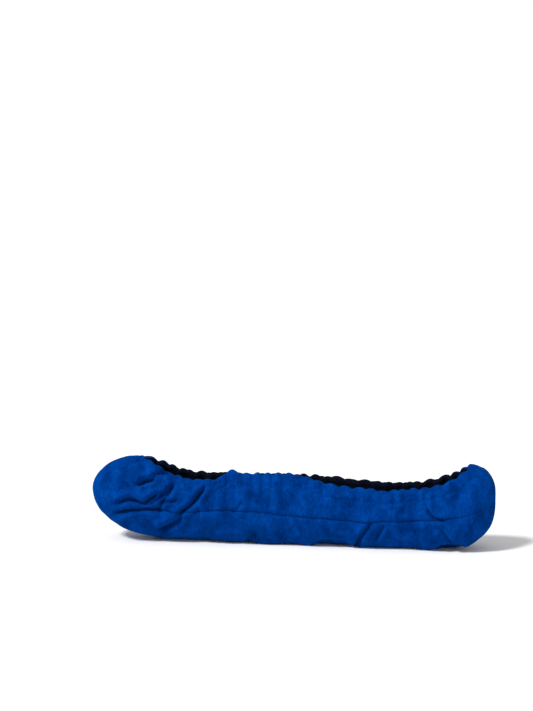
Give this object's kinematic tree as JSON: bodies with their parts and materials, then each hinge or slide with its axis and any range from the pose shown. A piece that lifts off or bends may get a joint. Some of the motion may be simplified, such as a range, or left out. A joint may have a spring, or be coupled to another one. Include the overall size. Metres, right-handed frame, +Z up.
{
  "type": "soft skate blade guard",
  "caption": "Boat-shaped plush fabric cover with an elasticated mouth that pulls over an ice-skate blade to dry and protect it.",
  "frame": {"origin": "on the floor, under the middle of the cover's box", "axes": "+X towards the toe, +Y towards the left side, +Z up"},
  "size_m": [0.3218, 0.0492, 0.0683],
  "materials": {
    "plush": "royal blue cotton velour, short soft pile",
    "terry": "near-black navy absorbent terry",
    "webbing": "dense twill webbing",
    "elastic": "white knitted elastic",
    "thread": "blue spun polyester thread"
  },
  "bodies": {
    "cover": {"sole_panel": "plush", "sole_lining": "terry", "blade_pad": "webbing", "right_heel_panel": "plush", "left_heel_panel": "plush", "right_toe_panel": "plush", "left_toe_panel": "plush", "heel_lining": "terry", "toe_lining": "terry", "heel_elastic": "elastic", "toe_elastic": "elastic", "heel_hem_thread": "thread", "toe_hem_thread": "thread", "right_seam_thread": "thread", "left_seam_thread": "thread", "heel_seam_thread": "thread", "toe_seam_thread": "thread"},
    "right_lip": {"right_lip_panel": "plush", "right_lip_lining": "terry", "right_lip_elastic": "elastic", "right_lip_hem_thread": "thread"},
    "left_lip": {"left_lip_panel": "plush", "left_lip_lining": "terry", "left_lip_elastic": "elastic", "left_lip_hem_thread": "thread"}
  },
  "joints": [
    {"name": "right_lip_open", "type": "hinge", "parent": "cover", "child": "right_lip", "pos_m": [0, -0.0205, 0.0252], "axis": [0.9996, 0, -0.0283], "range_deg": [0, 25], "stiffness_Nm_per_rad": 0.15},
    {"name": "left_lip_open", "type": "hinge", "parent": "cover", "child": "left_lip", "pos_m": [0, 0.0205, 0.0252], "axis": [-0.9996, 0, -0.0283], "range_deg": [0, 25], "stiffness_Nm_per_rad": 0.15}
  ]
}
